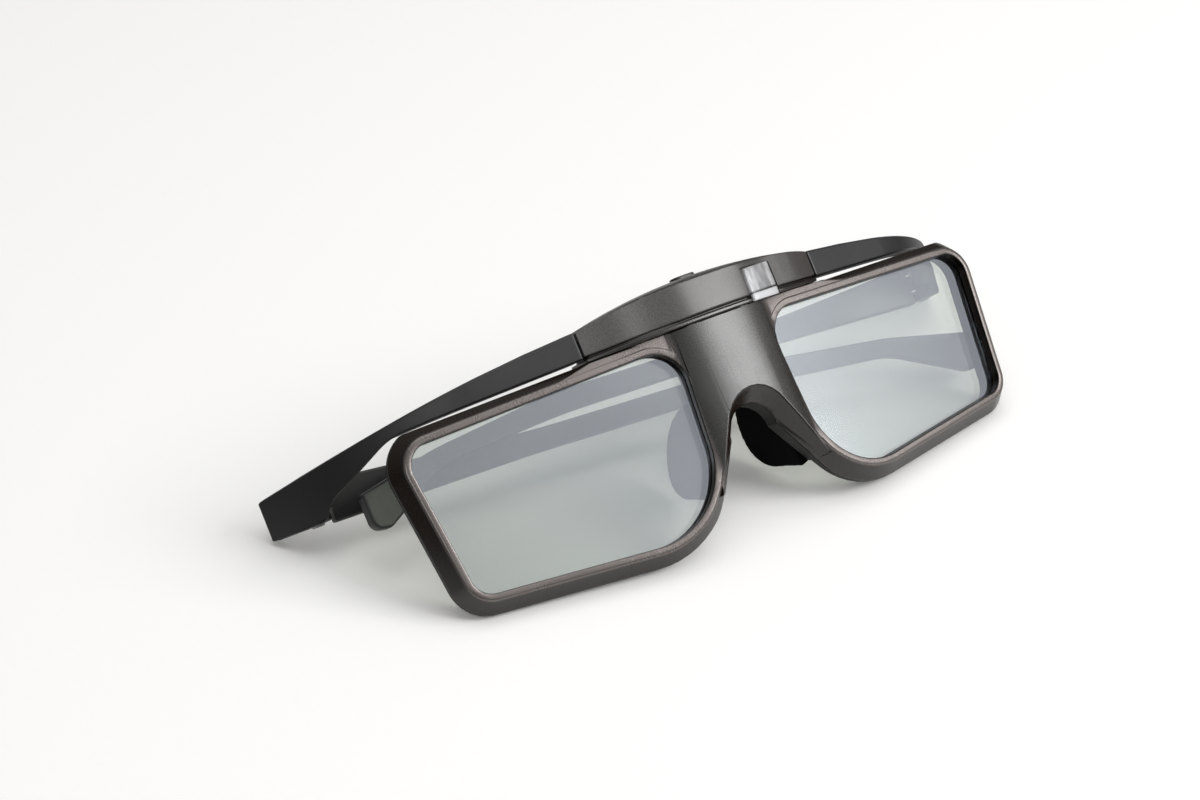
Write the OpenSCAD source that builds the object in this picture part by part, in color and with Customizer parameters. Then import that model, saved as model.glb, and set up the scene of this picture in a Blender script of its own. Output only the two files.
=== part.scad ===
// Active-shutter 3D glasses: a two-lens front under a central electronics housing,
// swept brow arms, folding temples and nose pads. Modelled upright, then leaned back as they lie.

/* [Lenses] */
// Distance of each lens centre from the middle plane
lens_x = 38.4; // [36:0.2:42]
// Angle by which each lens turns back toward the temple
wrap = 9.3; // [6:0.1:12]
// Width of the lens opening
lens_w = 56; // [50:0.5:60]
// Height of the lens opening on the nose side
lens_h = 34.8; // [30:0.2:40]
// Height of the lens opening on the temple side
side_h = 28.5; // [24:0.5:32]
// Thickness of a liquid-crystal lens
lens_t = 1.8; // [1.2:0.1:2.4]
// Depth of a lens's face behind the front ridge
lens_sink = 1.8; // [1.4:0.1:2.6]
// Width by which a lens is held behind the edge of its opening
lens_lap = 1.2; // [0.8:0.1:1.6]

/* [Rims] */
// Width of the flat front ridge
ridge_w = 1.25; // [0.8:0.05:2]
// Full width of a rim behind its sloping wall
rim_w = 3.6; // [3:0.1:4.4]
// Width of a rim above the lens opening
rim_top = 2.5; // [2:0.1:3]
// Straight edge of the front shell before the parting line
rim_edge = 0.4; // [0.2:0.1:1]
// Depth of the rear shell
rear_d = 2.9; // [2.4:0.1:3.6]
// Taper of the rear shell toward its back
rear_taper = 2; // [1:0.1:2.2]

/* [Bridge] */
// Forward bulge of the bridge before the ridges
bridge_bulge = 1.6; // [1.2:0.1:2]
// Radius of the bridge's front in plan
bridge_r = 36; // [30:1:45]
// Back of the bridge behind the lens centres
bridge_back = 1.5; // [1:0.1:2.5]
// Width of the bridge's legs beside the nose arch
leg_w = 2.3; // [1.8:0.1:3]
// Width of the chamfer round the nose arch
arch_chamfer = 2.5; // [1.5:0.1:3]
// Depth of the chamfer round the nose arch
chamfer_d = 3.5; // [2.5:0.1:4]
// Height of the nose arch's centre
arch_z = -3.3; // [-5:0.1:-2]

/* [Housing] */
// Half length of the electronics housing
housing_x = 26.9; // [26:0.1:30]
// Radius of the housing's front in plan
housing_r = 58.9; // [54:0.5:70]
// Forward reach of the housing
housing_y = 7.2; // [6.6:0.1:8]
// Back of the housing
housing_back = 5.4; // [5.2:0.1:7]
// Height of the housing from its base to the crown
housing_h = 7.8; // [7.4:0.1:9]
// Radius of the crown from end to end
crown_r = 127; // [115:1:160]
// Radius of the crown from front to back
crown_small_r = 26; // [22:1:34]
// Wall of the housing outside the cover
wall = 1.2; // [1:0.1:1.5]
// Ledge under the cover's edge
ledge = 0.7; // [0.4:0.1:0.9]
// Width of the clear window over the sensor
window_w = 7; // [6:0.1:8]
// Height of the clear window
window_h = 5.1; // [4.4:0.1:5.3]

/* [Electronics] */
// Thickness of the circuit board
board_t = 0.8; // [0.6:0.1:1]
// Length of the battery
battery_l = 15; // [11:0.5:16]
// Height of the battery
battery_h = 2.6; // [2:0.1:2.7]
// Width of the push switch
switch_w = 4; // [3.4:0.1:4.2]
// Length of the power button
button_w = 5.2; // [4.6:0.1:7]
// Width of the power button
button_d = 3; // [2.8:0.1:3.6]
// Height of the power button above the crown
button_proud = 1; // [0.5:0.1:1.4]
// Travel of the power button
button_travel = 0.4; // [0.3:0.05:0.5]
// Width of the charging socket
socket_w = 7.6; // [6.8:0.1:8.2]

/* [Brow arms] */
// Thickness of an arm
arm_t = 4.2; // [3.8:0.1:4.6]
// Gap between an arm and the housing
arm_gap = 0.35; // [0.2:0.05:0.6]
// Heading of an arm where it leaves the housing
arm_angle = 14.7; // [12:0.1:18]
// Heading of an arm at its end
end_angle = 62; // [58:0.5:66]
// Radius of an arm's sweep
sweep_r = 43; // [40:0.5:48]
// Straight run before the sweep
arm_run = 20; // [17:0.5:24]
// Straight run after the sweep
end_run = 13.6; // [12:0.2:16]
// Thickness of the thin fin behind the hinge
fin_t = 2.2; // [1.6:0.1:2.6]

/* [Hinges] */
// Radius of a hinge pin
pin_r = 0.8; // [0.6:0.05:1]
// Running clearance round a pin
pin_clearance = 0.05; // [0.02:0.01:0.1]
// Distance of a pin from the arm's outer face
pin_in = 2.8; // [2.6:0.1:3.4]
// Radius of an arm's hinge ears
ear_r = 2.8; // [2.5:0.1:3.2]
// Height of a temple's knuckle
knuckle_h = 3.2; // [2.4:0.1:3.6]
// Radius of a temple's knuckle
knuckle_r = 2; // [1.6:0.1:2.2]
// Gap between moving hinge faces
hinge_gap = 0.3; // [0.2:0.05:0.4]

/* [Temples] */
// Length of a temple from its pin
temple_l = 143; // [130:1:143]
// Thickness of a temple
temple_t = 2.6; // [2:0.1:3.2]
// Inward bend of a temple at its tip
ear_in = 6; // [4:0.5:8]
// Height of a temple at its root
root_h = 8; // [7:0.1:9]
// Height of a temple along its blade
blade_h = 4.4; // [3.6:0.1:4.8]
// Height of a temple at its ear end
tip_h = 7.4; // [6:0.1:8.5]
// Droop of the right temple in its hinge play
drop_right = 0.2; // [0:0.1:0.6]

/* [Nose pads] */
// Thickness of a nose pad
pad_t = 2.4; // [1.8:0.1:3]
// Length of a nose pad from front to back
pad_l = 16.5; // [15:0.5:18]
// Height of a nose pad
pad_h = 19.8; // [18:0.2:21]

/* [Hidden] */
$fn = 96;
eps = 0.01;
far = 60;
right = 1;
left = -1;
graphite = "#4a4644";
black = "#232427";
corner_steps = 14;
curve_steps = 24;

// Lens opening: corners as [across, up], then their radii
opening_top = 16.6;
nose_w = lens_w / 2 + 0.6;
temple_w = lens_w / 2 - 0.6;
brow_slope = 0.8;
opening = [[-nose_w, opening_top], [temple_w, opening_top - brow_slope],
    [temple_w - 3.6, opening_top - brow_slope - side_h], [2.3 - nose_w, opening_top - lens_h]];
opening_r = [6.5, 4.3, 4, 15];

// Depths of the rims behind the front ridge
shell_d = lens_sink + lens_t;
slope_d = shell_d - rim_edge;
rear_edge = 0.8;
taper_d = shell_d + rear_edge;
rim_d = shell_d + rear_d;
rim_back_w = rim_w - rear_taper;

// Bridge between the ridges
nose_x = lens_x - nose_w * cos(wrap);
bridge_y = nose_w * sin(wrap) + bridge_bulge;
bridge_lap = 2.3;
leg_z = -12;
fill_sink = 0.15;
fill_w = 1.5;
fill_end = 16.6;
fill_tip = 25.6;
arch_r = nose_x - leg_w;
arch_spread = 0.65;
arch_foot_z = -25;

// Heights of the stacked housing pieces
frame_top = opening_top + rim_top;
seam_h = 0.2;
seam_in = 1.2;
lip_h = 0.7;
groove_h = 0.5;
groove_in = 0.8;
base_top = frame_top + lip_h + groove_h;
crown_z = base_top + housing_h;
crown_y = 1;
crown_half = 12;
cover_h = 3.6;
cover_z = base_top + cover_h;
inside = wall + ledge;
fit = 0.1;

// Sensor window
window_x = 7.7;
window_top = base_top + window_h;
window_lip_z = frame_top - 0.1;
window_proud = 0.35;
window_lip_d = 0.6;

// Circuit board and what stands on it
board_top = base_top + board_t;
board_x = 19;
board_in = inside + 0.4;
receiver = [4.2, 2, 2.6];
receiver_y = -1.5;
dome_r = 1.1;
switch_h = 3.2;
plunger_r = 1.1;
cover_t = 1.4;
flange_w = 0.6;
flange_h = 0.6;
button_gap = 0.2;
button_y = 1.3;
button_z = crown_z - cover_t - button_gap - flange_h;
plunger_gap = 0.05;
plunger_z = button_z - button_travel - plunger_gap;
battery_d = 4.4;
battery_at = [-18.2, -1.3];
socket_d = 4.4;
socket_h = 2.5;
socket_x = 11.4;
socket_wall = 0.35;
socket_depth = 3.6;
socket_tongue = [4.8, 3.2, 0.7];
light_r = 0.8;
light_x = 5;
light_z = base_top + 2.1;

// Lens connection tails
tail_u = 4.6 - nose_w;
tail_z = 10;
tail_w = 6;
tail_t = 0.3;
tail_v = lens_sink + lens_t / 2;
tail_slot = 0.2;

// Brow arm: places along its outer face
housing_end_y = housing_r - housing_y - sqrt(housing_r ^ 2 - housing_x ^ 2);
arm_start = [housing_x + arm_gap, housing_end_y + 0.1];
arm_heading = [cos(arm_angle), sin(arm_angle)];
arm_inward = [-sin(arm_angle), cos(arm_angle)];
end_heading = [cos(end_angle), sin(end_angle)];
end_inward = [-sin(end_angle), cos(end_angle)];
sweep_start = arm_start + arm_run * arm_heading;
sweep_centre = sweep_start + sweep_r * arm_inward;
sweep_end = sweep_centre - sweep_r * end_inward;
arm_end = sweep_end + end_run * end_heading;
arm_back = arm_end + fin_t * end_inward;
arm_root_z = [frame_top + 6.1, frame_top + 0.9];
arm_past = arm_end.x + 2;
shoulder = [arm_end.x - 22.9, frame_top + 4.9];
arm_top = [[arm_start.x, arm_root_z[0]], shoulder, [arm_past, frame_top - 1.4]];
arm_low = [[arm_start.x, arm_root_z[1]], [arm_end.x - 17.4, frame_top + 0.3], [arm_end.x - 7.6, frame_top - 6],
    [arm_end.x - 6.5, frame_top - 8.9], [arm_past, frame_top - 8.15]];
arm_low_r = [8, 4, 0.6];
tongue_l = 5.8;
tongue_t = 2.4;
tongue_h = 2.2;
tongue_y = arm_start.y + (arm_t - tongue_t) / 2;
tongue_z = base_top + 1;
tongue_x = arm_start.x - tongue_l;
screw_r = 0.6;
screw_head_r = 1.2;
screw_head_h = 0.8;
screw_x = tongue_x + 1.8;

// Hinge: pin place, ears of the arm and knuckle of the temple
pin_run = 4.5;
pin_at = sweep_end + pin_run * end_heading + pin_in * end_inward;
thick_run = pin_run + 1;
ear_low_h = 2.1;
ear_top_h = 2.5;
hinge_z = frame_top - 8.7;
knuckle_z = hinge_z + ear_low_h + hinge_gap;
ear_top_z = knuckle_z + knuckle_h + hinge_gap;
hinge_top = ear_top_z + ear_top_h;
pin_head_r = 1.3;
pin_head_h = 0.4;
open_heading = 92;

// Temple blade in side view: distance from the pin and height from the middle of the knuckle
pivot_z = knuckle_z + knuckle_h / 2;
root_gap = 0.6;
root_x = ear_r + root_gap;
blade_x = [45, 95];
root_mid = -0.4;
blade_mid = [0.3, 1.8];
hook = [temple_l - 19, -0.15];
hook_h = 3.6;
tip_mid = -5.5;
tip_run = 3.5;
tip_rise = 0.6;
temple_r = [300, 200, 18, 2.4, 2, 1, 60, 150, 300, 2];
function edge(way) = [[root_x, root_mid + way * root_h / 2], [blade_x[0], blade_mid[0] + way * blade_h / 2],
    [blade_x[1], blade_mid[1] + way * blade_h / 2], [hook.x, hook.y + way * hook_h / 2]];
low_edge = edge(-1);
top_edge = edge(1);

// Nose pads
pad_at = [nose_x - 3.1, -0.6];
pad_flare = 11;
pad_top = 6.6;
pad_fall = 2;
pad_rise = 3.6;
pad_r = (pad_h - pad_fall - pad_rise) * [0.81, 0.4];

function unit(v) = v / norm(v);
function centre_of(a, b, c, r) =
    let (one = unit(a - b), two = unit(c - b), half = acos(one * two) / 2)
    b + unit(one + two) * r / sin(half);
// Arc round corner b between a and c, about the same centre when grown
function corner(a, b, c, r, grow = 0) =
    let (one = unit(a - b), two = unit(c - b), mid = centre_of(a, b, c, r),
        foot = r / tan(acos(one * two) / 2), from = b + one * foot - mid, to = b + two * foot - mid,
        start = atan2(from.y, from.x), turn = atan2(cross(from, to), from * to))
    [for (i = [0:corner_steps]) let (t = start + turn * i / corner_steps) mid + (r + grow) * [cos(t), sin(t)]];
function lens_outline(grow = 0) =
    [for (i = [0:3]) each corner(opening[(i + 3) % 4], opening[i], opening[(i + 1) % 4], opening_r[i], grow)];
function curve(a, b, c) =
    [for (i = [0:curve_steps]) let (t = i / curve_steps) (1 - t) ^ 2 * a + 2 * t * (1 - t) * b + t ^ 2 * c];
// Places of a rim outline as [back, up], at a depth behind the ridge
function rim_places(grow, depth) =
    [for (p = lens_outline(grow)) [p.x * sin(wrap) + depth * cos(wrap), p.y]];
function bend(s) = ear_in * (s / temple_l) ^ 3;

// Folded temples: the left one lies behind the rims, the right one behind it, and the left droops where they cross
fold_gap = 1.6;
fold_apart = 2;
cross_gap = 0.4;
droop_gap = 0.3;
rims_back = max([for (p = concat(rim_places(rim_w, taper_d), rim_places(rim_back_w, rim_d))) p.x]);
fold_left = atan((pin_at.y - ear_in - temple_t / 2 - rims_back - fold_gap) / temple_l);
fold_right = fold_left - fold_apart;
function forward(s, fold) = s * tan(fold) + bend(s);
cross_x = max([for (x = [-far:0.5:0])
    if (forward(pin_at.x - x, fold_right) - forward(pin_at.x + x, fold_left) > temple_t + cross_gap) x]);
cross_right = pin_at.x - cross_x;
cross_left = pin_at.x + cross_x;
drop_left = atan((lookup(cross_left, top_edge) - lookup(cross_right, low_edge) + cross_right * tan(drop_right)
    + droop_gap) / cross_left);

// Rest on the floor: the arms' ends and the rims' lower edges touch it
arm_foot = [arm_back.y, lookup(arm_back.x, [arm_low[3], arm_low[4]])];
rim_feet = [for (p = concat(rim_places(rim_w, taper_d), rim_places(rim_back_w, rim_d))) if (p.y < 0) p];
lean = max([for (p = rim_feet) atan2(arm_foot.y - p.y, arm_foot.x - p.x)]);
rest_z = arm_foot.x * sin(lean) - arm_foot.y * cos(lean);
rim_fronts = [for (p = concat(rim_places(ridge_w, 0), rim_places(rim_w, slope_d))) p * [cos(lean), sin(lean)]];
arm_back_z = lookup(arm_back.x, curve(arm_top[0], arm_top[1], arm_top[2]));
rest_y = -(min(rim_fronts) + [arm_back.y, arm_back_z] * [cos(lean), sin(lean)]) / 2;

// Leans the upright glasses back onto the floor
module place() {
    translate([0, rest_y, rest_z]) rotate([-lean, 0, 0]) children();
}

module on_side(side) {
    mirror([side == left ? 1 : 0, 0, 0]) children();
}

// Frame of one lens: across, back, up
module on_lens(side) {
    on_side(side) translate([lens_x, 0, 0]) rotate([0, 0, wrap]) children();
}

module slab(from, to) {
    translate([0, to, 0]) rotate([90, 0, 0]) linear_extrude(to - from) children();
}

module outline(grow = 0) {
    polygon(lens_outline(grow));
}

// Rim that tapers from one width to another
module taper(from, to, from_w, to_w) {
    hull() {
        slab(from, from + eps) outline(from_w);
        slab(to - eps, to) outline(to_w);
    }
}

// Everything behind the plane where the shells meet
module rear_half() {
    for (side = [left, right]) intersection() {
        on_lens(side) translate([-far, shell_d, -far]) cube(2 * far);
        on_side(side) translate([0, -far, -far]) cube(2 * far);
    }
}

module lens_hole() {
    for (side = [left, right]) on_lens(side) {
        slab(-far / 4, far / 4) outline();
        slab(lens_sink, lens_sink + lens_t) outline(lens_lap);
    }
    tail_slots();
}

function arch_points(r) =
    concat([for (i = [0:corner_steps]) let (t = 180 * i / corner_steps) [r * cos(t), arch_z + r * sin(t)]],
        [for (side = [left, right]) [side * (r + arch_spread * (arch_z - arch_foot_z)), arch_foot_z]]);

module nose_arch() {
    hull() {
        slab(-bridge_y - eps, -bridge_y) polygon(arch_points(arch_r));
        slab(chamfer_d - bridge_y, chamfer_d - bridge_y + eps) polygon(arch_points(arch_r - arch_chamfer));
    }
    slab(-bridge_y, far / 2) polygon(arch_points(arch_r - arch_chamfer));
}

module bridge_block() {
    half_w = nose_x + bridge_lap;
    translate([0, 0, leg_z]) linear_extrude(frame_top - leg_z) intersection() {
        translate([0, bridge_r - bridge_y]) circle(bridge_r);
        translate([-half_w, -far]) square([2 * half_w, far + bridge_back]);
    }
}

// Fills the corner between a rim's top bar and the bridge, just behind the ridge
module brow_fill(side) {
    on_lens(side) slab(fill_sink, shell_d) polygon([[-nose_w - fill_w, opening_top - opening_r[0]],
        [-nose_w - fill_w, frame_top], [fill_end - nose_w, frame_top], [fill_tip - nose_w, opening_top + ridge_w / 2],
        [fill_end - nose_w, opening_top - ridge_w]]);
}

// Flat top of the frame with a fine seam round the housing's foot
module above_frame() {
    translate([-2 * far, -far, frame_top]) cube([4 * far, 2 * far, far]);
    difference() {
        translate([-2 * far, -far, frame_top - seam_h]) cube([4 * far, 2 * far, far]);
        linear_extrude(far) housing_plan(seam_in);
    }
}

module front_frame() {
    color(graphite) place() difference() {
        union() {
            for (side = [left, right]) on_lens(side) {
                taper(0, slope_d, ridge_w, rim_w);
                slab(slope_d, shell_d) outline(rim_w);
            }
            difference() {
                bridge_block();
                rear_half();
            }
            for (side = [left, right]) brow_fill(side);
        }
        nose_arch();
        lens_hole();
        above_frame();
    }
}

module rear_solid() {
    difference() {
        union() {
            for (side = [left, right]) on_lens(side) {
                slab(shell_d, taper_d) outline(rim_w);
                taper(taper_d, rim_d, rim_w, rim_back_w);
            }
            intersection() {
                bridge_block();
                rear_half();
            }
        }
        nose_arch();
        above_frame();
    }
}

module rear_frame() {
    color(black) place() difference() {
        rear_solid();
        lens_hole();
    }
}

module lens_plate(side) {
    on_lens(side) slab(lens_sink, lens_sink + lens_t) outline(lens_lap);
}

module lens(side) {
    color("#9fa8a6", 0.5) place() lens_plate(side);
}

module tail(side) {
    color("#b0762c") place() difference() {
        on_lens(side) translate([tail_u, tail_v, tail_z]) cube([tail_w, tail_t, base_top - tail_z]);
        lens_plate(side);
    }
}

// Plan of the housing, drawn in from its outside by a wall
module housing_plan(in = 0) {
    intersection() {
        translate([0, housing_r - housing_y]) circle(housing_r - in, $fn = 240);
        translate([in - housing_x, -far]) square([2 * (housing_x - in), far + housing_back - in]);
    }
}

// Barrel whose top is the housing's crown
module crown() {
    translate([0, crown_y, crown_z - crown_r]) rotate([-90, 0, 0])
        rotate_extrude($fn = 240) intersection() {
            union() {
                translate([crown_r - crown_small_r, 0]) circle(crown_small_r);
                translate([0, -crown_small_r]) square([crown_r - crown_small_r, 2 * crown_small_r]);
            }
            translate([0, -crown_half]) square([2 * crown_r, 2 * crown_half]);
        }
}

// Gap in the front wall for the sensor window
module window_gap(gap, from_z, to_z, depth) {
    intersection() {
        translate([window_x - gap, -far, from_z]) cube([window_w + 2 * gap, far, to_z - from_z]);
        linear_extrude(far) difference() {
            housing_plan(-window_proud);
            housing_plan(depth);
        }
    }
}

module tail_slots() {
    for (side = [left, right]) on_lens(side)
        translate([tail_u - tail_slot, tail_v - tail_slot, 0])
            cube([tail_w + 2 * tail_slot, tail_t + 2 * tail_slot, far]);
}

module housing_base() {
    color(graphite) place() difference() {
        union() {
            translate([0, 0, frame_top]) linear_extrude(lip_h) housing_plan();
            translate([0, 0, frame_top]) linear_extrude(lip_h + groove_h) housing_plan(groove_in);
        }
        tail_slots();
        window_gap(fit, 0, base_top, window_lip_d + fit);
    }
}

module housing() {
    color(graphite) place() difference() {
        intersection() {
            translate([0, 0, base_top]) linear_extrude(far) housing_plan();
            crown();
        }
        translate([0, 0, cover_z]) linear_extrude(far) housing_plan(wall);
        linear_extrude(far) housing_plan(inside);
        window_gap(fit, 0, window_top + fit, inside + 1);
        for (side = [left, right]) on_side(side) {
            translate([tongue_x, tongue_y - fit, tongue_z - fit])
                cube([far, tongue_t + 2 * fit, tongue_h + 2 * fit]);
            arm_screw();
        }
        charging_body();
        light_body();
    }
}

module button_plan(grow = 0) {
    for (end = [left, right])
        translate([end * (button_w - button_d) / 2, button_y]) circle(button_d / 2 + grow);
    translate([(button_d - button_w) / 2, button_y - button_d / 2 - grow])
        square([button_w - button_d, button_d + 2 * grow]);
}

module housing_cover() {
    color(graphite) place() difference() {
        intersection() {
            translate([0, 0, cover_z]) linear_extrude(far) housing_plan(wall);
            crown();
        }
        linear_extrude(crown_z - cover_t) button_plan(flange_w + 2 * button_gap);
        linear_extrude(far) button_plan(button_gap);
        window_gap(fit, 0, window_top + fit, inside + 1);
    }
}

module sensor_window() {
    color("#e8ecec", 0.6) place() {
        window_gap(0, base_top, window_top, inside);
        window_gap(0, window_lip_z, base_top, window_lip_d);
    }
}

module infrared_receiver() {
    color("#1b1b1f") place() translate([window_x + window_w / 2, receiver_y, board_top]) {
        translate([-receiver.x / 2, 0, 0]) cube(receiver);
        translate([0, 0, receiver.z / 2]) sphere(dome_r);
    }
}

module circuit_board() {
    color("#1f5a3c") place() translate([0, 0, base_top]) linear_extrude(board_t) intersection() {
        housing_plan(board_in);
        translate([-board_x, -far]) square([2 * board_x, 2 * far]);
    }
}

module battery() {
    color("#c9ccd0") place() translate([battery_at.x, battery_at.y, board_top]) cube([battery_l, battery_d, battery_h]);
}

module push_switch() {
    color("#303030") place() translate([0, button_y, board_top]) {
        translate([-switch_w / 2, -switch_w / 2, 0]) cube([switch_w, switch_w, switch_h]);
        cylinder(r = plunger_r, h = plunger_z - board_top);
    }
}

module power_button() {
    color(black) place() {
        translate([0, 0, button_z]) linear_extrude(crown_z + button_proud - button_z) button_plan();
        translate([0, 0, button_z]) linear_extrude(flange_h) button_plan(flange_w);
    }
}

module charging_body() {
    translate([socket_x, housing_back - socket_d, board_top]) cube([socket_w, socket_d, socket_h]);
}

module charging_socket() {
    color("#b9bcc0") place() {
        difference() {
            charging_body();
            translate([socket_x + socket_wall, housing_back - socket_depth, board_top + socket_wall])
                cube([socket_w - 2 * socket_wall, far, socket_h - 2 * socket_wall]);
        }
        translate([socket_x + (socket_w - socket_tongue.x) / 2, housing_back - socket_depth - eps,
            board_top + (socket_h - socket_tongue.z) / 2]) cube(socket_tongue);
    }
}

module light_body() {
    translate([light_x, housing_back, light_z]) rotate([90, 0, 0]) cylinder(r = light_r, h = inside);
}

module status_light() {
    color("#d9e6d9") place() light_body();
}

// Plan of an arm: straight run, sweep, straight run and thin fin
module arm_plan() {
    back = arm_start - 3 * arm_heading;
    polygon([back, sweep_start + eps * arm_heading, sweep_start + eps * arm_heading + arm_t * arm_inward,
        back + arm_t * arm_inward]);
    intersection() {
        translate(sweep_centre) difference() {
            circle(sweep_r, $fn = 240);
            circle(sweep_r - arm_t, $fn = 240);
        }
        polygon([sweep_centre, sweep_centre - 2 * sweep_r * arm_inward, sweep_centre - 2 * sweep_r * end_inward]);
    }
    start = sweep_end - eps * end_heading;
    polygon([start, sweep_end + thick_run * end_heading, sweep_end + thick_run * end_heading + arm_t * end_inward,
        start + arm_t * end_inward]);
    polygon([start, arm_end, arm_end + fin_t * end_inward, start + fin_t * end_inward]);
}

// Side view of an arm, seen from the front
module arm_side() {
    polygon(concat(curve(arm_top[0], arm_top[1], arm_top[2]), [arm_low[4]],
        [for (i = [3:-1:1]) each corner(arm_low[i + 1], arm_low[i], arm_low[i - 1], arm_low_r[i - 1])], [arm_low[0]]));
}

module at_pin(z) {
    translate([pin_at.x, pin_at.y, z]) children();
}

// Room that the temple's neck sweeps between folded and open
module neck_room() {
    reach = 2 * ear_r;
    folded_heading = 180 + max(fold_left, fold_right);
    sweep = [for (i = [0:6]) open_heading + (folded_heading - open_heading) * i / 6];
    at_pin(knuckle_z - hinge_gap) linear_extrude(knuckle_h + 2 * hinge_gap) {
        circle(knuckle_r + hinge_gap);
        polygon([[0, 0], for (t = sweep) reach * [cos(t), sin(t)]]);
        for (t = [open_heading, folded_heading]) rotate(t)
            translate([0, -temple_t / 2 - hinge_gap]) square([reach, temple_t + 2 * hinge_gap]);
    }
}

module arm_solid() {
    difference() {
        union() {
            intersection() {
                translate([0, 0, -far]) linear_extrude(2 * far) arm_plan();
                slab(-far, far) arm_side();
                translate([arm_start.x, -far, -far]) cube(2 * far);
            }
            at_pin(hinge_z) cylinder(r = ear_r, h = hinge_top - hinge_z);
            translate([tongue_x, tongue_y, tongue_z]) cube([tongue_l + 1, tongue_t, tongue_h]);
        }
        neck_room();
        hinge_screw();
        arm_screw();
    }
}

module arm(side) {
    color(black) place() on_side(side) arm_solid();
}

// Screw from the back wall through an arm's tongue
module arm_screw() {
    translate([screw_x, housing_back, tongue_z + tongue_h / 2]) rotate([90, 0, 0]) {
        cylinder(r = screw_head_r, h = screw_head_h);
        cylinder(r = screw_r, h = housing_back - tongue_y);
    }
}

module arm_screws() {
    color("#8a8d91") place() for (side = [left, right]) on_side(side) arm_screw();
}

module hinge_screw() {
    at_pin(hinge_z - pin_head_h) cylinder(r = pin_head_r, h = pin_head_h);
    at_pin(hinge_z - pin_head_h) cylinder(r = pin_r, h = hinge_top - hinge_z + pin_head_h);
}

module hinge_screws() {
    color("#9a9da1") place() for (side = [left, right]) on_side(side) hinge_screw();
}

// Plan of a temple from its pin, bending in toward the ear
module temple_plan() {
    path = [for (i = [0:curve_steps]) temple_l * i / curve_steps];
    polygon(concat([for (s = path) [s, bend(s) - temple_t / 2]],
        [for (i = [curve_steps:-1:0]) [path[i], bend(path[i]) + temple_t / 2]]));
}

// Side view of a temple blade with its rounded ear end
module temple_side() {
    tip_z = tip_mid - tip_h / 2;
    places = concat(low_edge, [[temple_l - tip_run, tip_z], [temple_l, tip_z + tip_rise], [temple_l, tip_mid + tip_h / 2]],
        [for (i = [3:-1:0]) top_edge[i]]);
    last = len(places) - 1;
    polygon(concat([places[0]],
        [for (i = [1:last]) each corner(places[i - 1], places[i], places[i == last ? 0 : i + 1], temple_r[i - 1])]));
}

module temple_solid(drop) {
    difference() {
        union() {
            rotate([0, drop, 0]) intersection() {
                translate([0, 0, -far]) linear_extrude(2 * far) temple_plan();
                slab(-far, far) temple_side();
            }
            translate([0, 0, -knuckle_h / 2]) {
                cylinder(r = knuckle_r, h = knuckle_h);
                translate([0, -temple_t / 2, 0]) cube([root_x + 1.5, temple_t, knuckle_h]);
            }
        }
        translate([0, 0, -far]) cylinder(r = pin_r + pin_clearance, h = 2 * far);
    }
}

module temple(side, fold, drop) {
    color(black) place() on_side(side) at_pin(pivot_z) rotate([0, 0, 180 + fold]) temple_solid(drop);
}

module pad_solid() {
    top_back = [pad_fall - pad_l, pad_h - pad_fall];
    low_back = [-pad_l, pad_rise];
    translate([pad_at.x, pad_at.y, pad_top]) rotate([0, -pad_flare, 0])
        translate([pad_t / 2, 0, -pad_h]) rotate([90, 0, -90]) linear_extrude(pad_t)
            polygon(concat([[0, 0], [0, pad_h]], corner([0, pad_h], top_back, low_back, pad_r[0]),
                corner(top_back, low_back, [0, 0], pad_r[1])));
}

// A pad stands on the back faces of its rim and of the bridge
module nose_pad(side) {
    color("#18191b") place() on_side(side) intersection() {
        pad_solid();
        on_lens(right) translate([-far, rim_d, -far]) cube(2 * far);
        translate([-far, bridge_back, -far]) cube(2 * far);
    }
}

front_frame();
rear_frame();
lens(left);  // lens_left
lens(right);  // lens_right
tail(left);  // tail_left
tail(right);  // tail_right
housing_base();
housing();
housing_cover();
sensor_window();
infrared_receiver();
circuit_board();
battery();
push_switch();
power_button();
charging_socket();
status_light();
arm(left);  // arm_left
arm(right);  // arm_right
arm_screws();
hinge_screws();
temple(left, fold_left, drop_left);  // temple_left
temple(right, fold_right, drop_right);  // temple_right
nose_pad(left);  // nose_pad_left
nose_pad(right);  // nose_pad_right
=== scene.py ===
import bmesh
import bpy
import math
from mathutils import Euler, Matrix, Vector
from mathutils.bvhtree import BVHTree


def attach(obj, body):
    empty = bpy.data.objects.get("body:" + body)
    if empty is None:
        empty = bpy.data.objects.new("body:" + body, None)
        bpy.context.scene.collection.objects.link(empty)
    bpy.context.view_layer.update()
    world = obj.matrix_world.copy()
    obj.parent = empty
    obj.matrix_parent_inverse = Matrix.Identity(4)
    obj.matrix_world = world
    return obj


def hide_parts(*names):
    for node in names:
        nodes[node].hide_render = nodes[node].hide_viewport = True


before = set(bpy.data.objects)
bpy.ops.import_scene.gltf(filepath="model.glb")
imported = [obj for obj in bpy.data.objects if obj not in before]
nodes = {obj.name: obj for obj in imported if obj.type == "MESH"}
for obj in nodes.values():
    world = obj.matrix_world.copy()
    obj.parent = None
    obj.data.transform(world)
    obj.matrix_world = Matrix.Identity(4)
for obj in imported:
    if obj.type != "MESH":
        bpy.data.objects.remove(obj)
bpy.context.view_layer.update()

scene = bpy.context.scene
mm = 0.001
leaned = {"turn": 41.1279, "y": -14.0956, "z": 17.6152}  # how the worn glasses lie back on the floor
lensPlane = {"aside": 38.4, "wrap": 9.3}  # each lens stands this far out and turns this far back
layBack = Matrix.Rotation(-math.radians(leaned["turn"]), 4, "X")
worn = Matrix.Translation((0, leaned["y"] * mm, leaned["z"] * mm)) @ layBack
upright = worn.inverted()
bodyOf = {"temple_left": "left_temple", "temple_right": "right_temple", "power_button": "button"}
print("frame:", len(nodes), "nodes")


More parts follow.
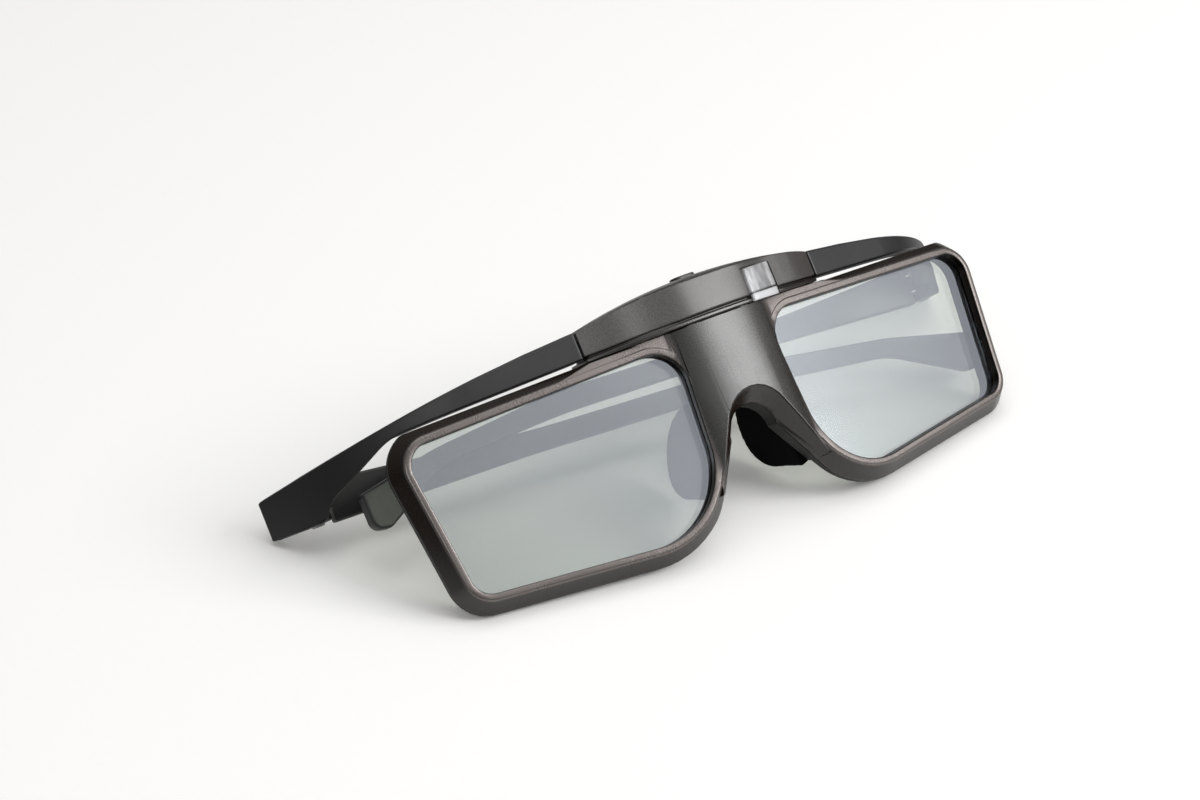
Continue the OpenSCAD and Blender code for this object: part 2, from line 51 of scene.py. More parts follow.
class Wire:  # one socket of a node tree, sums on it add Math nodes
    def __init__(self, tree, socket=None):
        self.tree = tree
        self.socket = socket

    def node(self, kind, settings=None, sockets=None, out=0):
        made = self.tree.nodes.new(kind)
        for name, value in (settings or {}).items():
            setattr(made, name, value)
        for name, value in (sockets or {}).items():
            if isinstance(value, Wire):
                self.tree.links.new(value.socket, made.inputs[name])
            else:
                made.inputs[name].default_value = value
        return Wire(self.tree, made.outputs[out] if made.outputs else None)

    def sum(self, operation, first, second):
        return self.node("ShaderNodeMath", {"operation": operation}, {0: first, 1: second})

    def __add__(self, other):
        return self.sum("ADD", self, other)

    def __sub__(self, other):
        return self.sum("SUBTRACT", self, other)

    def __rsub__(self, other):
        return self.sum("SUBTRACT", other, self)

    def __mul__(self, other):
        return self.sum("MULTIPLY", self, other)

    def noise(self, place, scale, detail=2.0, rough=0.5):
        sockets = {"Vector": place, "Scale": scale, "Detail": detail, "Roughness": rough}
        return self.node("ShaderNodeTexNoise", None, sockets)

    def span(self, value, low, high, fromLow=0.35, fromHigh=0.65):
        ends = {"From Min": fromLow, "From Max": fromHigh, "To Min": low, "To Max": high}
        return self.node("ShaderNodeMapRange", None, dict(ends, Value=value))

    def rise(self, value, ends):  # from 0 to 1 between two distances in mm
        return self.span(value, 0.0, 1.0, ends[0] * mm, ends[1] * mm)

    def around(self, value, middle, ends):  # from a little below a middle value to a little above it
        return self.span(value, middle + ends[0], middle + ends[1])

    def mix(self, factor, first, second):
        return self.node("ShaderNodeMix", {"data_type": "RGBA"}, {0: factor, 6: first, 7: second}, out=2)

    def parts(self, vector):
        made = self.node("ShaderNodeSeparateXYZ", None, {0: vector}).socket.node
        return [Wire(self.tree, out) for out in made.outputs]

    def bump(self, height, distance):
        return self.node("ShaderNodeBump", None, {"Height": height, "Distance": distance, "Strength": 1.0})


def newMaterial(name):
    made = bpy.data.materials.new(name)
    made.use_nodes = True
    made.node_tree.nodes.clear()
    wire = Wire(made.node_tree)
    return made, wire, wire.node("ShaderNodeTexCoord", out="Object")


def surface(wire, shader):
    wire.node("ShaderNodeOutputMaterial", None, {"Surface": shader})


def rgb(*values):
    return tuple(values) + (1.0,)


vary = {  # how far noise takes a roughness or a share down and up
    "cloud": (-0.03, 0.04), "flake": (-0.02, 0.02), "grain": (-0.04, 0.05),
    "line": (-0.06, 0.08), "haze": (-0.01, 0.01), "veil": (-0.006, 0.006),
}


def behindRidge(wire, place):  # depth behind a rim's ridge, distance from the middle, turn towards the lens
    x, y, z = wire.parts(place)
    faceX, faceY, faceZ = wire.parts(wire.node("ShaderNodeTexCoord", out="Normal"))
    aside = wire.node("ShaderNodeMath", {"operation": "ABSOLUTE"}, {0: x})
    side = wire.node("ShaderNodeMath", {"operation": "SIGN"}, {0: x})
    turn, wrap = math.radians(leaned["turn"]), math.radians(lensPlane["wrap"])
    y, z, out = y - leaned["y"] * mm, z - leaned["z"] * mm, aside - lensPlane["aside"] * mm
    back = y * math.cos(turn) - z * math.sin(turn)
    inward = 0.0 - out * side * faceX - y * faceY - z * faceZ
    return back * math.cos(wrap) - out * math.sin(wrap), aside, inward


def lacquer(name, look):  # satin lacquer with fine flakes, browner where it turns away
    made, wire, place = newMaterial(name)
    flake = wire.noise(place, look["flakeScale"], rough=0.6)
    cloud = wire.noise(place, look["cloudScale"], detail=3.0)
    edge = wire.node("ShaderNodeLayerWeight", None, {"Blend": look["edgeBlend"]}, out="Facing")
    face = wire.mix(edge, wire.mix(wire.span(flake, 0.0, 1.0), look["dark"], look["light"]), look["edge"])
    metallic = 0.0
    if "ridge" in look:  # painted highlight on the ridge round each lens, painted shade on the wall outside it
        depth, aside, inward = behindRidge(wire, place)
        ridge = (1.0 - wire.rise(depth, look["ridgeEnd"])) * wire.rise(aside, look["bridgeEnd"])
        # painted shade: the rim's outer wall behind the ridge is darkened
        wall = wire.rise(depth, look["wallShadeStart"]) * (1.0 - wire.rise(depth, look["wallShadeEnd"]))
        paintedHighlight = wire.mix(flake, look["ridge"], look["ridgeLight"])
        face = wire.mix(ridge, wire.mix(wall, face, look["wall"]), paintedHighlight)
        seam = wire.rise(inward, look["seamShadeTurn"]) * wire.rise(depth, look["seamShadeStart"])  # painted shade on the inner wall, down to the lens
        face = wire.mix(seam, face, look["seam"])
        metallic = wire.sum("MAXIMUM", ridge * look["ridgeMetal"], seam)
    rough = wire.around(cloud, look["rough"], vary["cloud"]) + wire.around(flake, 0.0, vary["flake"])
    surface(wire, wire.node("ShaderNodeBsdfPrincipled", None, {
        "Base Color": face,
        "Metallic": metallic,
        "Specular IOR Level": look["shine"],
        "Roughness": rough,
        "Normal": wire.bump(flake, look["flakeDepth"] * mm),
    }))
    return made


def moulded(name, look):  # plain moulded plastic or rubber with a spark-eroded grain
    made, wire, place = newMaterial(name)
    grain = wire.noise(place, look["grainScale"], detail=3.0, rough=0.6)
    cloud = wire.noise(place, look["cloudScale"], detail=3.0)
    both = cloud * 0.5 + grain * 0.5
    surface(wire, wire.node("ShaderNodeBsdfPrincipled", None, {
        "Base Color": wire.mix(wire.span(both, 0.0, 1.0), look["dark"], look["light"]),
        "Roughness": wire.around(cloud, look["rough"], vary["grain"]),
        "Specular IOR Level": look["shine"],
        "Normal": wire.bump(grain, look["grainDepth"] * mm),
    }))
    return made


def metal(name, look):  # turned or stamped metal, fine lines along one way
    made, wire, place = newMaterial(name)
    stretched = wire.node("ShaderNodeMapping", None, {"Vector": place, "Scale": look["stretch"]})
    line = wire.noise(stretched, look["lineScale"], detail=3.0)
    surface(wire, wire.node("ShaderNodeBsdfPrincipled", None, {
        "Base Color": wire.mix(line, look["dark"], look["light"]),
        "Metallic": 1.0,
        "Roughness": wire.around(line, look["rough"], vary["line"]),
        "Normal": wire.bump(line, look["lineDepth"] * mm),
    }))
    return made


def shutter(name, look):  # liquid-crystal lens: a grey-green filter under a bright veil of reflection
    made, wire, place = newMaterial(name)
    haze = wire.noise(place, look["hazeScale"])
    filtered = wire.node("ShaderNodeBsdfTransparent", None, {"Color": look["tint"]})
    veil = wire.node("ShaderNodeBsdfPrincipled", None, {
        "Base Color": wire.mix(wire.span(haze, 0.0, 1.0), look["veilLow"], look["veilHigh"]),
        "Metallic": 1.0,
        "Roughness": wire.around(haze, look["rough"], vary["haze"]),
    })
    share = wire.around(haze, look["share"], vary["veil"])
    surface(wire, wire.node("ShaderNodeMixShader", None, {0: share, 1: filtered, 2: veil}))
    return made


def clear(name, look):  # clear moulded plastic
    made, wire, place = newMaterial(name)
    turn = (math.radians(leaned["turn"]), 0.0, 0.0)
    stood = wire.node("ShaderNodeMapping", None, {"Vector": place, "Rotation": turn})
    drawn = wire.node("ShaderNodeMapping", None, {"Vector": stood, "Scale": look["stretch"]})
    swirl = wire.noise(drawn, look["swirlScale"])
    tone = wire.mix(wire.span(swirl, 0.0, 1.0, *look["swirlEnds"]), look["low"], look["high"])
    recess = look["recess"]
    shade = wire.rise(wire.parts(place)[0], (recess, recess + look["recessEdge"]))  # painted shade on the side in its recess
    if "paintedGlint" in look:  # painted highlight: a bright glint band along the foot, under a dark line
        height, foot = wire.parts(stood)[2], look["paintedGlint"]["foot"]
        lineStart = wire.rise(height, (foot, foot + look["paintedGlint"]["dark"]))
        lineEnd = wire.rise(height, [foot + step for step in look["paintedGlint"]["fade"]])
        paintedHighlight = wire.span(height, 1.0, 0.0, foot * mm, (foot + look["paintedGlint"]["paintedHighlight"]) * mm)
        tone = wire.mix(paintedHighlight, tone, look["high"])
        tone = wire.mix(lineStart * (1.0 - lineEnd), tone, look["paintedGlint"]["line"])
    through = wire.node("ShaderNodeBsdfTransparent", None, {"Color": look["tint"]})
    gloss = wire.node("ShaderNodeBsdfPrincipled", None, {
        "Base Color": wire.mix(shade, tone, look["recessShadeTone"]),
        "Roughness": wire.span(swirl, *look["rough"]),
        "Normal": wire.bump(swirl, look["swirlDepth"] * mm),
    })
    edge = wire.node("ShaderNodeFresnel", None, {"IOR": 1.5})
    share = wire.sum("MAXIMUM", edge * look["edge"] + look["share"], shade)
    surface(wire, wire.node("ShaderNodeMixShader", None, {0: share, 1: through, 2: gloss}))
    return made


graphiteLook = {
    "dark": rgb(0.0035, 0.003, 0.0028), "light": rgb(0.010, 0.0088, 0.0082), "edge": rgb(0.016, 0.008, 0.004),
    "shine": 0.7, "rough": 0.27, "flakeScale": 4600.0, "flakeDepth": 0.0025, "cloudScale": 70.0, "edgeBlend": 0.35,
}
rimLook = dict(  # pairs are mm over which each painted highlight and shade comes or goes
    # wall is a painted shade on the rim's outer wall
    graphiteLook, wall=rgb(0.009, 0.0045, 0.0025), wallShadeStart=(0.6, 1.0), wallShadeEnd=(2.6, 3.0),
    # ridge tones: a painted highlight on the ridge round each lens, lighter and partly metallic
    ridge=rgb(0.12, 0.105, 0.10), ridgeLight=rgb(0.21, 0.185, 0.175), ridgeMetal=0.65,
    ridgeEnd=(0.15, 0.45), bridgeEnd=(10.5, 12.5),
    # seam is a painted shade on the rim's inner wall by the lens
    seam=rgb(0.012, 0.009, 0.008), seamShadeTurn=(2.5, 5.5), seamShadeStart=(0.04, 0.16),
)
# the graphite lacquer as a lighter copy: painted light that evens out the housing's shading
houseLitLook = dict(
    graphiteLook, dark=rgb(0.05, 0.047, 0.046), light=rgb(0.10, 0.095, 0.093), shine=0.6, rough=0.34,
)
lipLook = dict(graphiteLook, dark=rgb(0.010, 0.0092, 0.0088), light=rgb(0.019, 0.0175, 0.0168))
armLook = {
    "dark": rgb(0.012, 0.012, 0.0127), "light": rgb(0.020, 0.020, 0.0212), "rough": 0.42, "shine": 0.6,
    "grainScale": 4200.0, "grainDepth": 0.008, "cloudScale": 45.0,
}
rearLook = dict(
    armLook, dark=rgb(0.007, 0.0065, 0.0065), light=rgb(0.012, 0.0115, 0.0115), rough=0.46, shine=0.42,
)
# black rubber, its tone darkened further as painted shade
padShadedLook = dict(
    armLook, dark=rgb(0.0022, 0.0024, 0.0025), light=rgb(0.0045, 0.0046, 0.0048), rough=0.7, shine=0.05,
    grainScale=3000.0,
)
switchLook = dict(armLook, dark=rgb(0.03, 0.03, 0.03), light=rgb(0.05, 0.05, 0.05))
boardLook = dict(
    armLook, dark=rgb(0.01, 0.06, 0.03), light=rgb(0.015, 0.09, 0.045), rough=0.4, grainScale=1500.0,
)
flexLook = dict(
    armLook, dark=rgb(0.30, 0.12, 0.02), light=rgb(0.40, 0.17, 0.03), rough=0.35, grainScale=900.0,
)
receiverLook = dict(armLook, dark=rgb(0.006, 0.005, 0.008), light=rgb(0.012, 0.010, 0.014), rough=0.2)
lightLook = {
    "tint": rgb(0.78, 0.89, 0.78), "low": rgb(0.68, 0.80, 0.68), "high": rgb(0.78, 0.88, 0.78),
    "swirlScale": 900.0, "swirlEnds": (0.40, 0.60), "swirlDepth": 0.05, "stretch": (1.0, 1.0, 1.0),
    "recess": 90.0, "recessEdge": 0.25, "recessShadeTone": rgb(0.004, 0.004, 0.004),  # painted recess shade out of reach, so none
    "rough": (0.06, 0.14), "edge": 1.2, "share": 0.35,
}
windowLook = dict(
    # its pale tones are the clear plastic's own, lifted near white as painted reflection
    lightLook, tint=rgb(0.86, 0.87, 0.88), low=rgb(0.42, 0.42, 0.43), high=rgb(0.95, 0.95, 0.97),
    # recess is where the painted shade on the window's side begins
    swirlScale=560.0, stretch=(1.0, 0.4, 0.3), recess=14.0, edge=1.4, share=0.5,
    # a painted glint: a bright band along the window's foot under a dark line
    paintedGlint={"foot": 24.3, "paintedHighlight": 0.1, "dark": 0.15, "fade": (0.3, 0.6), "line": rgb(0.06, 0.06, 0.06)},
)
lensLook = {
    "tint": rgb(0.875, 0.895, 0.83), "veilLow": rgb(0.80, 0.845, 0.96), "veilHigh": rgb(0.83, 0.875, 1.0),
    "share": 0.30, "rough": 0.08, "hazeScale": 22.0,
}
steelLook = {
    "dark": rgb(0.24, 0.24, 0.25), "light": rgb(0.40, 0.40, 0.41), "rough": 0.3,
    "stretch": (1.0, 1.0, 8.0), "lineScale": 900.0, "lineDepth": 0.004,
}
socketLook = dict(steelLook, dark=rgb(0.42, 0.43, 0.44), light=rgb(0.55, 0.56, 0.57))
batteryLook = dict(
    steelLook, dark=rgb(0.5, 0.51, 0.53), light=rgb(0.65, 0.66, 0.68), rough=0.35,
    stretch=(1.0, 6.0, 1.0), lineScale=300.0,
)

finishes = {
    "base_graphite": lacquer("base_graphite", lipLook),
    "rim_graphite": lacquer("rim_graphite", rimLook),
    "house_graphite_painted_lit": lacquer("house_graphite_painted_lit", houseLitLook),
    "rear_black": moulded("rear_black", rearLook),
    "arm_black": moulded("arm_black", armLook),
    "lens": shutter("lens", lensLook),
    "flex": moulded("flex", flexLook),
    "window": clear("window", windowLook),
    "receiver": moulded("receiver", receiverLook),
    "board": moulded("board", boardLook),
    "battery": metal("battery", batteryLook),
    "switch": moulded("switch", switchLook),
    "button": moulded("button", armLook),
    "socket": metal("socket", socketLook),
    "light": clear("light", lightLook),
    "steel": metal("steel", steelLook),
    "pad": moulded("pad", padShadedLook),
}
slotOf = {
    "front_frame": "graphite", "housing": "graphite", "housing_cover": "graphite",
    "housing_base": "base_graphite", "rear_frame": "rear_black",
    "arm_left": "arm_black", "arm_right": "arm_black", "temple_left": "arm_black", "temple_right": "arm_black",
    "lens_left": "lens", "lens_right": "lens", "tail_left": "flex", "tail_right": "flex",
    "sensor_window": "window", "infrared_receiver": "receiver", "circuit_board": "board",
    "battery": "battery", "push_switch": "switch", "power_button": "button",
    "charging_socket": "socket", "status_light": "light", "arm_screws": "steel", "hinge_screws": "steel",
    "nose_pad_left": "pad", "nose_pad_right": "pad",
}
finishOf = dict(  # each node's finish, the slot's own apart from the graphite mouldings; the housing's is a lighter copy as painted light
    slotOf, front_frame="rim_graphite", housing="house_graphite_painted_lit", housing_cover="house_graphite_painted_lit",
)
for name, node in nodes.items():
    for place in node.material_slots:
        place.material = finishes[finishOf[name]]
print("materials:", len(finishes))


def copied(name, merge):  # the node's mesh where it stands, its doubled points merged
    mesh = nodes[name].data.copy()
    mesh.transform(nodes[name].matrix_world)
    work = bmesh.new()
    work.from_mesh(mesh)
    bmesh.ops.remove_doubles(work, verts=work.verts, dist=merge * mm)
    return mesh, work


def placed(name, mesh):
    made = bpy.data.objects.new(name, mesh)
    scene.collection.objects.link(made)
    return made


def settled(made):  # what the modifiers make of it, as a plain mesh
    shape = made.evaluated_get(bpy.context.evaluated_depsgraph_get())
    plain = bpy.data.meshes.new_from_object(shape)
    made.modifiers.clear()
    made.data = plain
    return plain


def standIn(made, name):  # the piece takes the node's place, finish and body
    made.data.materials.clear()
    made.data.materials.append(finishes[finishOf[name]])
    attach(made, bodyOf.get(name, "front"))
    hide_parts(name)
    return made


rounding = {
    "merge": 0.12, "flat": 0.2, "sharp": 24.0, "steps": 3,  # mm, degrees, degrees
    "share": 0.45, "slant": 0.35, "thrown": 0.6,  # of a face's room, of a side's length, of the rounding's width
}


def swell(there, look):  # how far the front falls back between its full middle and its flat wings
    behind = there.y + look["front"] - look["radius"] + math.sqrt(look["radius"] ** 2 - there.x ** 2)
    if not -look["slack"] < behind < (look["seam"] if there.z > look["top"] else look["slack"]):
        return 0.0
    near = max(0.0, 1.0 - abs(abs(there.x) - look["middle"]) / look["reach"])
    smooth = near * near * (3.0 - 2.0 * near)
    return look["fall"] * smooth * (1.0 - max(0.0, behind) / look["seam"])


def reshaped(spot, look):  # a point of the node, moved on the upright glasses
    there = upright @ spot / mm
    back, down = 0.0, 0.0
    if "swell" in look:
        back = swell(there, look["swell"])
    if "ledge" in look:  # a flat ledge is laid over into a slope
        for corner in look["ledge"]["corners"]:
            if (Vector((abs(there.x), there.y, there.z)) - Vector(corner)).length < look["ledge"]["near"]:
                back = look["ledge"]["fall"]
    if "lower" in look and there.z > look["lower"]["above"]:
        down = look["lower"]["by"]
    return worn @ ((there + Vector((0, back, -down))) * mm)


def flare(work, look):  # the openings grow wider towards the back
    work.normal_update()
    wrap = math.radians(lensPlane["wrap"])
    moves = []
    for point in work.verts:
        there = upright @ point.co / mm
        side = math.copysign(1.0, there.x)
        depth = there.y * math.cos(wrap) - (abs(there.x) - lensPlane["aside"]) * math.sin(wrap)
        if look["from"] < depth < look["to"]:
            axis = worn.to_3x3() @ Vector((side * math.sin(wrap), -math.cos(wrap), 0))
            inward = worn @ Vector((side * lensPlane["aside"] * mm, 0, 0)) - point.co
            facing = [face.normal for face in point.link_faces if face.normal.dot(inward) > 0.0]
            walls = [normal for normal in facing if abs(normal.dot(axis)) < look["slant"]]
            if walls:
                moves.append((point, sum(walls, Vector()).normalized()))
    for point, inward in moves:
        point.co -= inward * look["by"] * mm


def spare(edge):  # how much of an edge's two faces can be rounded off before they fold
    start, end = edge.verts
    line = (end.co - start.co).normalized()

    def off(step):
        return (step - line * step.dot(line)).length

    widths = []
    for face in edge.link_faces:
        widths.append(max(off(point.co - start.co) for point in face.verts))
        for loop in face.loops:
            if loop.edge == edge:
                before, after = loop.link_loop_prev, loop.link_loop_next
                for other, corner in ((before.edge, loop.vert), (after.edge, after.vert)):
                    step = other.other_vert(corner).co - corner.co
                    if off(step) > rounding["slant"] * step.length:
                        widths.append(off(step))
    return rounding["share"] * min(widths)


def softened(name, look):  # the node again with its hard edges rounded off
    mesh, work = copied(name, rounding["merge"])
    for point in work.verts:
        point.co = reshaped(point.co, look)
    flat = math.radians(look.get("flat", rounding["flat"]))
    bmesh.ops.dissolve_limit(work, angle_limit=flat, verts=work.verts, edges=work.edges)
    if look.get("split"):
        bmesh.ops.triangulate(work, faces=work.faces, ngon_method="BEAUTY")
    if "flare" in look:
        flare(work, look["flare"])
    weight = work.edges.layers.float.new("bevel_weight_edge")
    for edge in work.edges:
        if len(edge.link_faces) == 2 and edge.calc_face_angle(0.0) > math.radians(rounding["sharp"]):
            edge[weight] = min(1.0, spare(edge) / (look["width"] * mm))
    work.to_mesh(mesh)
    work.free()
    mesh.shade_smooth()
    made = placed(name + "_soft", mesh)
    bevel = made.modifiers.new("edges", "BEVEL")
    bevel.width = look["width"] * mm
    bevel.segments = rounding["steps"]
    bevel.limit_method = "WEIGHT"
    bevel.use_clamp_overlap = False
    even = made.modifiers.new("even", "WEIGHTED_NORMAL")  # broad faces keep their own direction
    even.keep_sharp = True
    plain = settled(made)
    corners = [point.co for point in mesh.vertices]
    skin = BVHTree.FromPolygons(corners, [face.vertices for face in mesh.polygons])
    for point in plain.vertices:  # a corner the rounding threw out goes back on the skin
        spot, _, _, off = skin.find_nearest(point.co)
        if off > rounding["thrown"] * look["width"] * mm:
            point.co = spot
    return standIn(made, name)


def rounded(name, look):  # the node again as one moulding, its hard edges run soft
    mesh, work = copied(name, look["merge"])
    flat = math.radians(rounding["flat"])
    bmesh.ops.dissolve_limit(work, angle_limit=flat, verts=work.verts, edges=work.edges)
    work.to_mesh(mesh)
    work.free()
    made = placed(name + "_moulding", mesh)
    grid = made.modifiers.new("grid", "REMESH")
    grid.mode = "VOXEL"
    grid.voxel_size = look["grid"] * mm
    soft = made.modifiers.new("soft", "SMOOTH")
    soft.factor = 0.5
    soft.iterations = look["passes"]
    settled(made).shade_smooth()
    return standIn(made, name)


pad = {"merge": 0.001, "grid": 0.3, "passes": 14}
for name in ("nose_pad_left", "nose_pad_right"):
    made = rounded(name, pad)
    print(made.name, len(made.data.polygons))

archLedge = {
    "corners": [(5.24, -2.71, -2.1), (5.38, -2.71, -3.3), (11.03, -2.71, -12.0)], "near": 0.2, "fall": 0.75,
}
houseSwell = {
    "radius": 58.9, "front": 7.2, "top": 24.5, "seam": 1.2, "slack": 0.05, "middle": 14.0, "reach": 8.5, "fall": 0.8,
}
backFlare = {"from": 5.9, "to": 6.7, "by": 0.9, "slant": 0.3}
edges = {  # width is the mm rounded off, split cuts faces with holes into triangles first
    "front_frame": {"width": 0.32, "split": True, "ledge": archLedge},
    "housing": {"width": 0.35, "split": True, "swell": houseSwell},
    "rear_frame": {"width": 0.2, "split": True, "flare": backFlare},
    "housing_base": {"width": 0.2},
    "housing_cover": {"width": 0.25},
    "arm_left": {"width": 0.4, "flat": 1.0},
    "arm_right": {"width": 0.4, "flat": 1.0},
    "temple_left": {"width": 0.5},
    "temple_right": {"width": 0.5},
    "power_button": {"width": 0.25, "lower": {"above": 28.3, "by": 0.5}},
    "sensor_window": {"width": 0.3},
}
for name, look in edges.items():
    made = softened(name, look)
    print(made.name, len(made.data.polygons))


def screwTree():  # a turned screw with a cross recess, stood on every head point
    tree = bpy.data.node_groups.new("screws", "GeometryNodeTree")
    tree.interface.new_socket("Heads", in_out="INPUT", socket_type="NodeSocketGeometry")
    for part in ("Head Radius", "Head Height", "Shank Radius", "Shank Length"):
        tree.interface.new_socket(part, in_out="INPUT", socket_type="NodeSocketFloat")
    for part in ("Slot Length", "Slot Width", "Slot Depth"):
        tree.interface.new_socket(part, in_out="INPUT", socket_type="NodeSocketFloat")
    tree.interface.new_socket("Turn", in_out="INPUT", socket_type="NodeSocketVector")
    tree.interface.new_socket("Finish", in_out="INPUT", socket_type="NodeSocketMaterial")
    tree.interface.new_socket("Screws", in_out="OUTPUT", socket_type="NodeSocketGeometry")
    wire = Wire(tree)
    given = {out.name: Wire(tree, out) for out in tree.nodes.new("NodeGroupInput").outputs}

    def stacked(x, y, z):
        return wire.node("ShaderNodeCombineXYZ", None, {0: x, 1: y, 2: z})

    def moved(shape, height):
        sockets = {"Geometry": shape, "Translation": stacked(0.0, 0.0, height)}
        return wire.node("GeometryNodeTransform", None, sockets)

    wide, tall, deep = given["Head Radius"], given["Head Height"], given["Slot Depth"] * 2.0
    head = moved(wire.node("GeometryNodeMeshCone", None, {
        "Vertices": 40, "Radius Top": wide * 0.9, "Radius Bottom": wide, "Depth": tall,
    }), 0.0 - tall)
    cut = wire.node("GeometryNodeMeshBoolean", {"operation": "DIFFERENCE", "solver": "EXACT"}, {"Mesh 1": head})
    for first, second in (("Slot Length", "Slot Width"), ("Slot Width", "Slot Length")):
        slot = wire.node("GeometryNodeMeshCube", None, {"Size": stacked(given[first], given[second], deep)})
        tree.links.new(slot.socket, cut.socket.node.inputs["Mesh 2"])
    rest = given["Shank Length"] - tall
    shank = moved(wire.node("GeometryNodeMeshCylinder", None, {
        "Vertices": 32, "Radius": given["Shank Radius"], "Depth": rest,
    }), 0.0 - tall - rest * 0.5)
    whole = wire.node("GeometryNodeJoinGeometry")
    for part in (cut, shank):
        tree.links.new(part.socket, whole.socket.node.inputs[0])
    turn = wire.node("FunctionNodeEulerToRotation", None, {0: given["Turn"]})
    sockets = {"Points": given["Heads"], "Instance": whole, "Rotation": turn}
    stood = wire.node("GeometryNodeInstanceOnPoints", None, sockets)
    plain = wire.node("GeometryNodeRealizeInstances", None, {"Geometry": stood})
    dressed = wire.node("GeometryNodeSetMaterial", None, {"Geometry": plain, "Material": given["Finish"]})
    wire.node("NodeGroupOutput", None, {0: dressed})
    return tree


def standScrews(name, look, tree):
    facing = (worn.to_3x3() @ Vector(look["facing"])).normalized()
    x, y, z = look["at"]
    mesh = bpy.data.meshes.new(name + "_turned")
    mesh.from_pydata([worn @ (Vector((side * x, y, z)) * mm) for side in (-1, 1)], [], [])
    made = placed(name + "_turned", mesh)
    made.modifiers.new("screws", "NODES").node_group = tree
    sizes = {key: value * mm for key, value in look["sizes"].items()}
    sizes["Turn"] = tuple(Vector((0, 0, 1)).rotation_difference(facing).to_euler())
    sizes["Finish"] = finishes["steel"]
    for item in tree.interface.items_tree:
        if item.in_out == "INPUT" and item.name in sizes:
            made.modifiers["screws"][item.identifier] = sizes[item.name]
    plain = settled(made)
    plain.shade_smooth()
    plain.set_sharp_from_angle(angle=math.radians(30))
    return standIn(made, name)


screws = {  # head centres on the upright glasses, right-hand one
    "arm_screws": {"at": (23.25, 5.4, 22.4), "facing": (0, 1, 0), "sizes": {
        "Head Radius": 1.2, "Head Height": 0.8, "Shank Radius": 0.6, "Shank Length": 5.09,
        "Slot Length": 1.5, "Slot Width": 0.36, "Slot Depth": 0.35,
    }},
    "hinge_screws": {"at": (73.2909, 31.1697, 10.0), "facing": (0, 0, -1), "sizes": {
        "Head Radius": 1.3, "Head Height": 0.4, "Shank Radius": 0.8, "Shank Length": 8.79,
        "Slot Length": 1.6, "Slot Width": 0.36, "Slot Depth": 0.25,
    }},
}
turned = screwTree()
for name, look in screws.items():
    made = standScrews(name, look, turned)
    print(made.name, len(made.data.polygons))


def paperFloor(look):
    made, wire, place = newMaterial("paper")
    black = rgb(0.0, 0.0, 0.0)
    fibre = wire.noise(place, look["fibreScale"], detail=3.0)
    far = wire.node("ShaderNodeVectorMath", {"operation": "LENGTH"}, {0: place}, out="Value")
    left = 0.0 - wire.parts(place)[0]
    farDim = wire.span(far, 0.0, look["dim"], *look["farEnds"])
    leftDim = wire.span(left, 0.0, look["dim"], *look["leftEnds"])
    mirrored = wire.node("ShaderNodeLightPath", out="Is Glossy Ray")
    faint = mirrored * wire.sum("MAXIMUM", farDim, leftDim)  # reflections lose the far floor and its left side
    paper = wire.mix(wire.span(fibre, 0.0, 1.0), look["low"], look["high"])
    surface(wire, wire.node("ShaderNodeBsdfPrincipled", None, {
        "Base Color": wire.mix(faint, paper, black),
        "Roughness": 0.8,
        "Specular IOR Level": 0.1,
        "Emission Color": wire.mix(wire.node("ShaderNodeLightPath", out="Is Camera Ray"), black, look["lift"]),
        "Emission Strength": 1.0,
    }))
    mesh = bpy.data.meshes.new("floor")
    size = look["size"]
    mesh.from_pydata([(-size, -size, 0), (size, -size, 0), (size, size, 0), (-size, size, 0)], [], [(0, 1, 2, 3)])
    mesh.materials.append(made)
    floor = placed("floor", mesh)
    floor.location.z = -look["below"] * mm
    return floor


def softBox(name, look):
    light = bpy.data.lights.new(name, "AREA")
    light.shape = "RECTANGLE"
    light.size, light.size_y = look["size"]
    light.energy = look["power"]
    lamp = placed(name, light)
    lamp.location = look["place"]
    lamp.rotation_euler = (Vector((0, 0, 0.02)) - Vector(look["place"])).to_track_quat("-Z", "Y").to_euler()
    return lamp


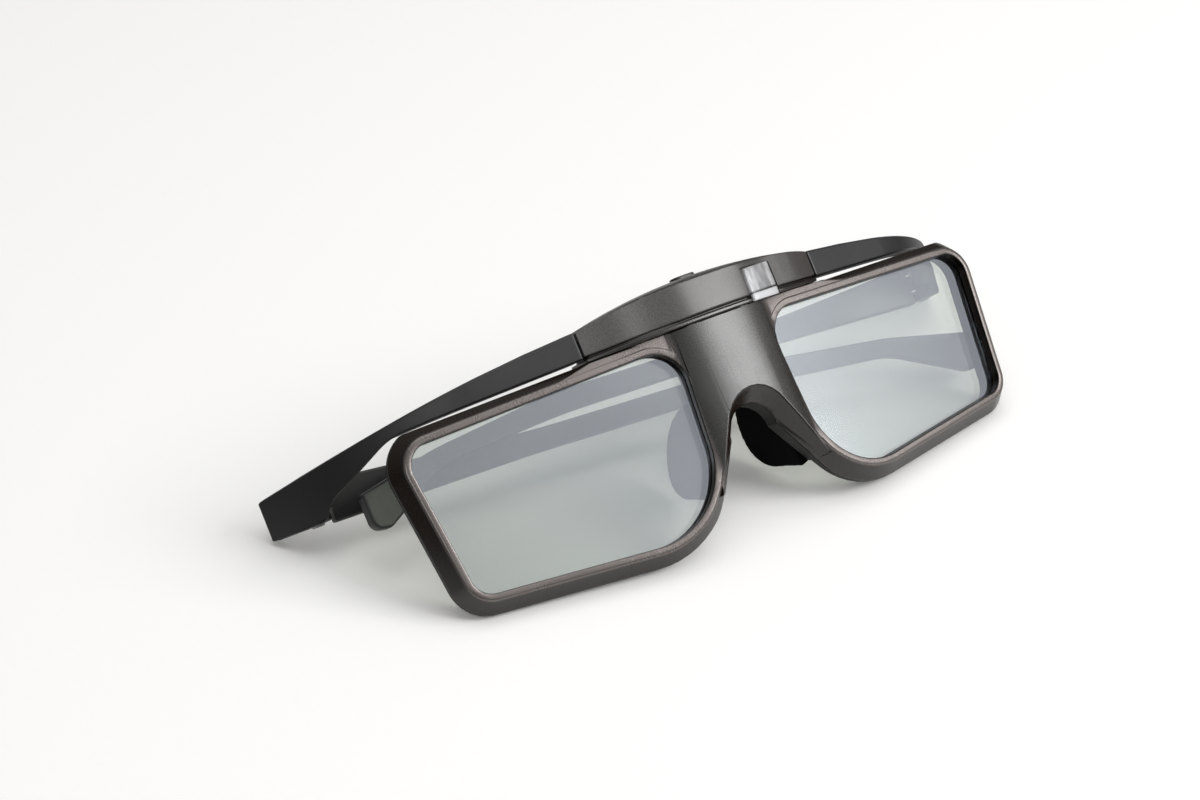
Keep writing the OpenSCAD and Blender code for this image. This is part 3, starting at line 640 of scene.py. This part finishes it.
def studio(look):
    world = bpy.data.worlds.new("studio")
    scene.world = world
    world.use_nodes = True
    world.node_tree.nodes.clear()
    wire = Wire(world.node_tree)
    across, deep, up = wire.parts(wire.node("ShaderNodeTexCoord", out="Generated"))
    right, front, high = look["wallWay"]
    towards = across * right - deep * front + up * high
    room = wire.span(up, *look["room"], 0.0, 1.0)
    wall = wire.span(towards, 0.0, look["wall"], *look["wallEdge"])  # a broad pale wall beyond the lamp
    glow = wire.span(up, *look["glow"], 0.0, 1.0) + wall * wire.span(across, *look["wallRight"])
    rays = wire.node("ShaderNodeLightPath", out="Is Camera Ray")
    passing = wire.node("ShaderNodeLightPath", out="Is Transmission Ray")
    mirrored = wire.node("ShaderNodeLightPath", out="Is Glossy Ray")
    seen = wire.sum("MAXIMUM", rays, passing)
    strength = seen + (1.0 - seen) * (room * (1.0 - mirrored) + glow * mirrored)
    shown = wire.node("ShaderNodeBackground", None, {"Color": look["tone"], "Strength": strength})
    wire.node("ShaderNodeOutputWorld", None, {"Surface": shown})


paperLook = {
    "size": 3.0, "below": 0.05, "fibreScale": 900.0, "dim": 0.92, "farEnds": (0.1, 0.38), "leftEnds": (0.07, 0.12),
    "low": rgb(0.93, 0.925, 0.915), "high": rgb(0.95, 0.945, 0.935), "lift": rgb(0.085, 0.085, 0.084),
}
boxes = {
    "overhead": {"place": (0.15, 0.12, 1.2), "size": (1.3, 1.1), "power": 5.8},
    "frontRight": {"place": (0.63, -0.68, 0.68), "size": (0.6, 0.5), "power": 7.2},
    "frontLeft": {"place": (-0.62, -0.70, 0.74), "size": (0.45, 0.45), "power": 1.6},
}
studioLook = {
    "tone": rgb(1.0, 0.995, 0.985), "room": (0.13, 0.42), "glow": (0.05, 0.26),  # strengths at the horizon and overhead
    "wall": 0.62, "wallWay": (0.5, 0.62, 0.6), "wallEdge": (0.82, 0.94), "wallRight": (0.9, 2.0, 0.15, 0.75),
}
lamps = [paperFloor(paperLook)] + [softBox(name, look) for name, look in boxes.items()]
studio(studioLook)
print("floor and light set")

shot = {
    "place": (-0.2732628, -0.3368962, 0.2829298), "turn": (58.14955, -1.01571, -36.04093),
    "lens": 81.0, "sensor": 36.0, "near": 0.01,
}
view = bpy.data.cameras.new("photo")
view.lens = shot["lens"]
view.sensor_width = shot["sensor"]
view.clip_start = shot["near"]
camera = placed("photo", view)
camera.location = shot["place"]
camera.rotation_euler = Euler([math.radians(angle) for angle in shot["turn"]])
scene.camera = camera
scene.view_settings.view_transform = "Standard"
